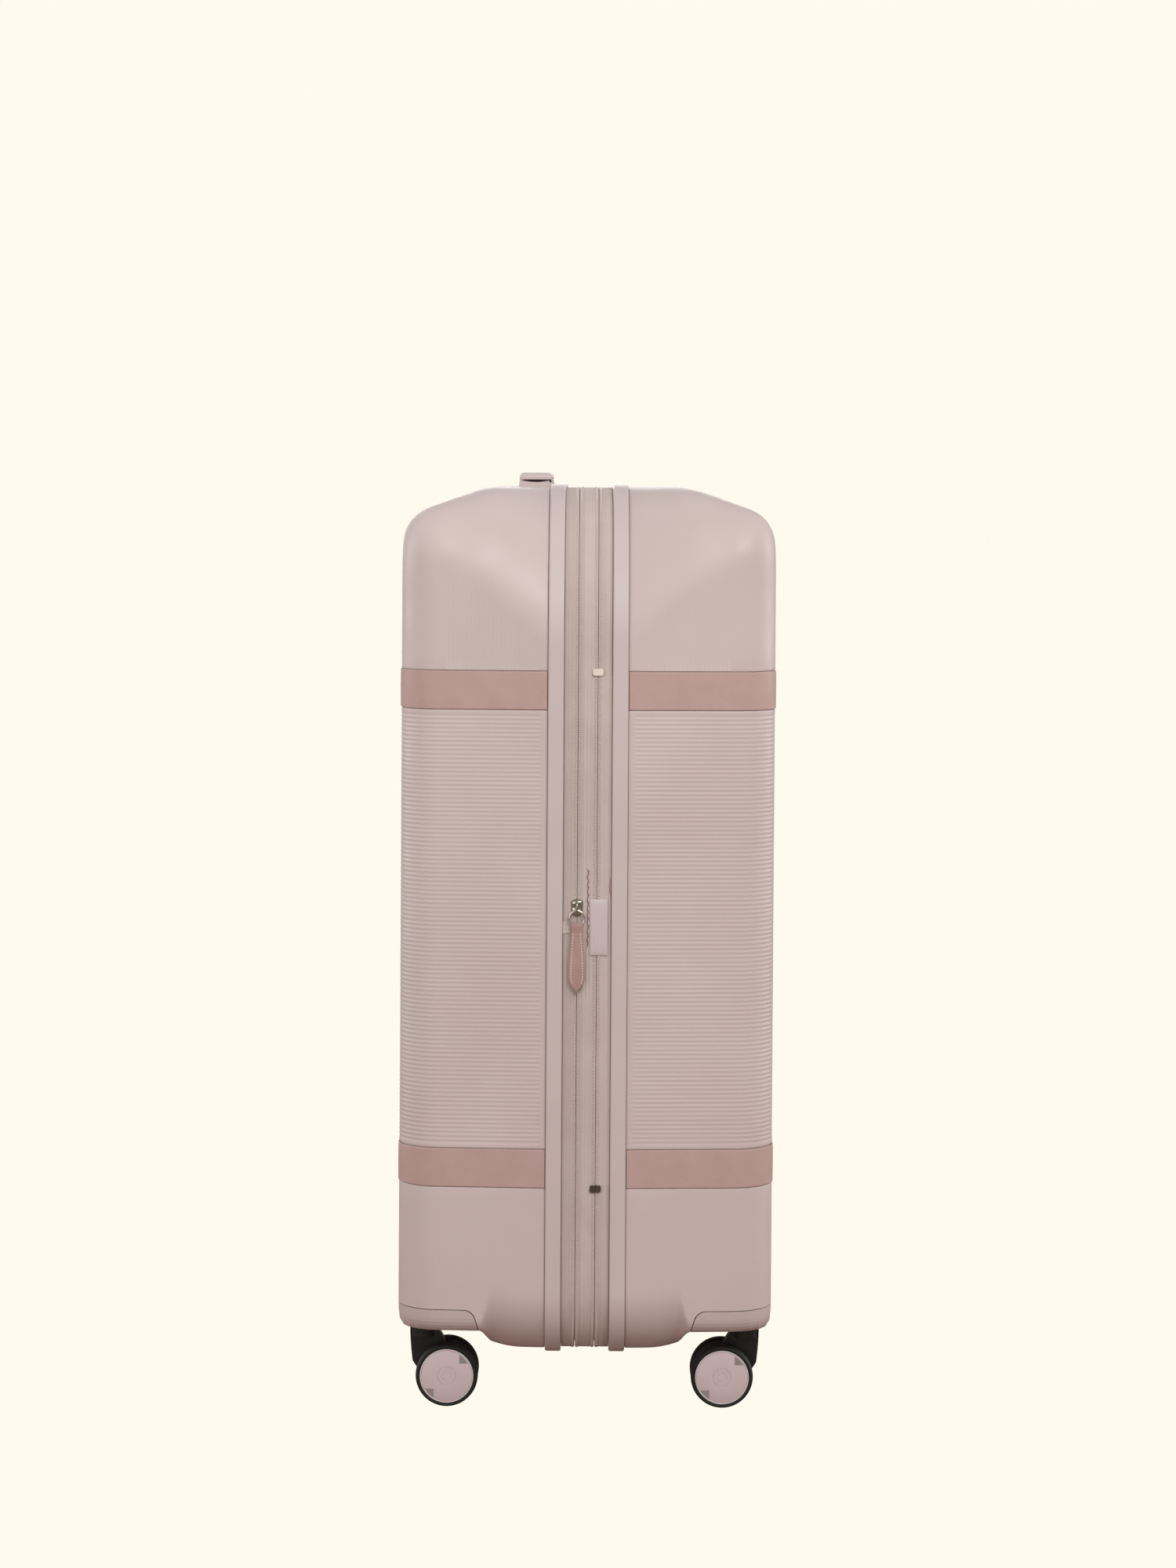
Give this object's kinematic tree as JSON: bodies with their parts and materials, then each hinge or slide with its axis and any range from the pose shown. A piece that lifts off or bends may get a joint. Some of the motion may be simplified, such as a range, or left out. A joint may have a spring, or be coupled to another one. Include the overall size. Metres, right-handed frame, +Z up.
{
  "type": "hard-shell suitcase",
  "caption": "Large hard-shell check-in suitcase with twin-wheel swivel castors, an expander zip, a fabric zip hinge, a telescopic pull handle, carry handles and a combination lock.",
  "frame": {"origin": "on the floor, under the middle of the whole object", "axes": "+Z up, -Y towards the front face, +Y towards the pull-handle face, -X towards the hinge side"},
  "size_m": [0.521, 0.3016, 0.75],
  "materials": {
    "shell": "satin dusty pink polycarbonate, fine ribs",
    "rim": "satin dusty pink frame profile",
    "band": "matte dusty rose band",
    "zip_fabric": "woven polyester zip tape",
    "lining": "pale woven lining",
    "castor_housing": "satin dusty pink corner cover",
    "castor_fork": "black moulded nylon",
    "castor_tyre": "black polyurethane tyre, pink hub discs",
    "trolley_tube": "brushed anodised tube",
    "trolley_plastic": "satin moulded plastic",
    "handle": "soft-touch pink grip",
    "button": "gloss moulded button",
    "lock": "satin lock body",
    "dial": "black number wheel",
    "zip_metal": "polished nickel",
    "puller_leather": "stitched dusty rose leather",
    "cover": "soft vinyl patch",
    "webbing": "woven webbing",
    "buckle": "moulded buckle"
  },
  "bodies": {
    "rear_half": {"rear_shell": "shell", "rear_rim": "rim", "rear_band_lower": "band", "rear_band_upper": "band", "rear_lining": "lining", "rear_zip_tape": "zip_fabric", "expansion_gusset": "zip_fabric", "castor_housing_rear_left": "castor_housing", "castor_housing_rear_right": "castor_housing", "trolley_bay": "trolley_plastic", "trolley_guide_left": "trolley_tube", "trolley_guide_right": "trolley_tube", "top_handle_mount_a": "handle", "top_handle_mount_b": "handle", "side_handle_mount_a": "handle", "side_handle_mount_b": "handle", "packing_strap_left": "webbing", "packing_strap_right": "webbing", "strap_buckle": "buckle"},
    "expander_frame": {"middle_zip_band": "zip_fabric", "zip_stop_upper": "zip_metal", "zip_stop_lower": "zip_metal", "zip_joint_cover": "cover"},
    "front_half": {"front_shell": "shell", "front_rim": "rim", "front_band_lower": "band", "front_band_upper": "band", "front_lining": "lining", "front_zip_tape": "zip_fabric", "castor_housing_front_left": "castor_housing", "castor_housing_front_right": "castor_housing", "lock_housing": "lock"},
    "castor_fork_rear_left": {"castor_fork_rear_left": "castor_fork"},
    "castor_wheels_rear_left": {"castor_wheels_rear_left": "castor_tyre"},
    "castor_fork_rear_right": {"castor_fork_rear_right": "castor_fork"},
    "castor_wheels_rear_right": {"castor_wheels_rear_right": "castor_tyre"},
    "castor_fork_front_left": {"castor_fork_front_left": "castor_fork"},
    "castor_wheels_front_left": {"castor_wheels_front_left": "castor_tyre"},
    "castor_fork_front_right": {"castor_fork_front_right": "castor_fork"},
    "castor_wheels_front_right": {"castor_wheels_front_right": "castor_tyre"},
    "trolley_middle": {"trolley_middle_tube_left": "trolley_tube", "trolley_middle_tube_right": "trolley_tube"},
    "trolley_upper": {"trolley_inner_tube_left": "trolley_tube", "trolley_inner_tube_right": "trolley_tube", "trolley_grip": "trolley_plastic"},
    "trolley_button": {"trolley_button": "button"},
    "top_handle": {"top_handle_grip": "handle"},
    "side_handle": {"side_handle_grip": "handle"},
    "lock_dial_1": {"lock_dial_1": "dial"},
    "lock_dial_2": {"lock_dial_2": "dial"},
    "lock_dial_3": {"lock_dial_3": "dial"},
    "lock_button": {"lock_button": "button"},
    "expander_slider": {"expander_slider": "zip_metal"},
    "expander_pull": {"expander_ring": "zip_metal", "expander_puller": "puller_leather"},
    "main_slider_upper": {"main_slider_upper": "zip_metal"},
    "main_puller_upper": {"main_puller_upper": "zip_metal"},
    "main_slider_lower": {"main_slider_lower": "zip_metal"},
    "main_puller_lower": {"main_puller_lower": "zip_metal"}
  },
  "joints": [
    {"name": "expansion", "type": "slide", "parent": "rear_half", "child": "expander_frame", "axis": [0, -1, 0], "range_m": [0, 0.035]},
    {"name": "case_hinge", "type": "hinge", "parent": "expander_frame", "child": "front_half", "pos_m": [-0.2603, -0.0077, 0.39], "axis": [0, 0, -1], "range_deg": [0, 180]},
    {"name": "castor_swivel_rear_left", "type": "hinge", "parent": "rear_half", "child": "castor_fork_rear_left", "pos_m": [-0.2101, 0.13, 0.06], "axis": [0, 0, 1], "continuous": true},
    {"name": "castor_roll_rear_left", "type": "hinge", "parent": "castor_fork_rear_left", "child": "castor_wheels_rear_left", "pos_m": [-0.2101, 0.1105, 0.025], "axis": [1, 0, 0], "continuous": true},
    {"name": "castor_swivel_rear_right", "type": "hinge", "parent": "rear_half", "child": "castor_fork_rear_right", "pos_m": [0.2039, 0.13, 0.06], "axis": [0, 0, 1], "continuous": true},
    {"name": "castor_roll_rear_right", "type": "hinge", "parent": "castor_fork_rear_right", "child": "castor_wheels_rear_right", "pos_m": [0.2039, 0.1105, 0.025], "axis": [1, 0, 0], "continuous": true},
    {"name": "castor_swivel_front_left", "type": "hinge", "parent": "front_half", "child": "castor_fork_front_left", "pos_m": [-0.2101, -0.13, 0.06], "axis": [0, 0, 1], "continuous": true},
    {"name": "castor_roll_front_left", "type": "hinge", "parent": "castor_fork_front_left", "child": "castor_wheels_front_left", "pos_m": [-0.2101, -0.1105, 0.025], "axis": [1, 0, 0], "continuous": true},
    {"name": "castor_swivel_front_right", "type": "hinge", "parent": "front_half", "child": "castor_fork_front_right", "pos_m": [0.2039, -0.13, 0.06], "axis": [0, 0, 1], "continuous": true},
    {"name": "castor_roll_front_right", "type": "hinge", "parent": "castor_fork_front_right", "child": "castor_wheels_front_right", "pos_m": [0.2039, -0.1105, 0.025], "axis": [1, 0, 0], "continuous": true},
    {"name": "trolley_lower_stage", "type": "slide", "parent": "rear_half", "child": "trolley_middle", "axis": [0, 0, 1], "range_m": [0, 0.19]},
    {"name": "trolley_upper_stage", "type": "slide", "parent": "trolley_middle", "child": "trolley_upper", "axis": [0, 0, 1], "range_m": [0, 0.19]},
    {"name": "trolley_button_press", "type": "slide", "parent": "trolley_upper", "child": "trolley_button", "axis": [0, 0, -1], "range_m": [0, 0.003], "stiffness_N_per_m": 500, "springref_m": -0.002},
    {"name": "top_handle_lift", "type": "slide", "parent": "rear_half", "child": "top_handle", "axis": [0, 0, 1], "range_m": [0, 0.016], "stiffness_N_per_m": 400, "springref_m": -0.002},
    {"name": "side_handle_lift", "type": "slide", "parent": "rear_half", "child": "side_handle", "axis": [1, 0, 0], "range_m": [0, 0.016], "stiffness_N_per_m": 400, "springref_m": -0.002},
    {"name": "lock_dial_1_turn", "type": "hinge", "parent": "front_half", "child": "lock_dial_1", "pos_m": [0.24585, -0.049, 0.3585], "axis": [0, 0, 1], "continuous": true},
    {"name": "lock_dial_2_turn", "type": "hinge", "parent": "front_half", "child": "lock_dial_2", "pos_m": [0.24585, -0.049, 0.3675], "axis": [0, 0, 1], "continuous": true},
    {"name": "lock_dial_3_turn", "type": "hinge", "parent": "front_half", "child": "lock_dial_3", "pos_m": [0.24585, -0.049, 0.3765], "axis": [0, 0, 1], "continuous": true},
    {"name": "lock_button_press", "type": "slide", "parent": "front_half", "child": "lock_button", "axis": [-1, 0, 0], "range_m": [0, 0.0025], "stiffness_N_per_m": 600, "springref_m": -0.0015},
    {"name": "expander_slider_travel", "type": "slide", "parent": "rear_half", "child": "expander_slider", "axis": [0, 0, 1], "range_m": [0, 0.18]},
    {"name": "expander_pull_swing", "type": "hinge", "parent": "expander_slider", "child": "expander_pull", "pos_m": [-0.25795, 0.008, 0.4028], "axis": [0, 1, 0], "range_deg": [0, 180]},
    {"name": "main_slider_upper_travel", "type": "slide", "parent": "expander_frame", "child": "main_slider_upper", "axis": [0, 0, 1], "range_m": [0, 0.18]},
    {"name": "main_puller_upper_swing", "type": "hinge", "parent": "main_slider_upper", "child": "main_puller_upper", "pos_m": [0.2535, -0.0077, 0.4025], "axis": [0, 0, 1], "range_deg": [0, 180]},
    {"name": "main_slider_lower_travel", "type": "slide", "parent": "expander_frame", "child": "main_slider_lower", "axis": [0, 0, -1], "range_m": [0, 0.18]},
    {"name": "main_puller_lower_swing", "type": "hinge", "parent": "main_slider_lower", "child": "main_puller_lower", "pos_m": [0.2535, -0.0077, 0.3785], "axis": [0, 0, 1], "range_deg": [0, 180]}
  ]
}
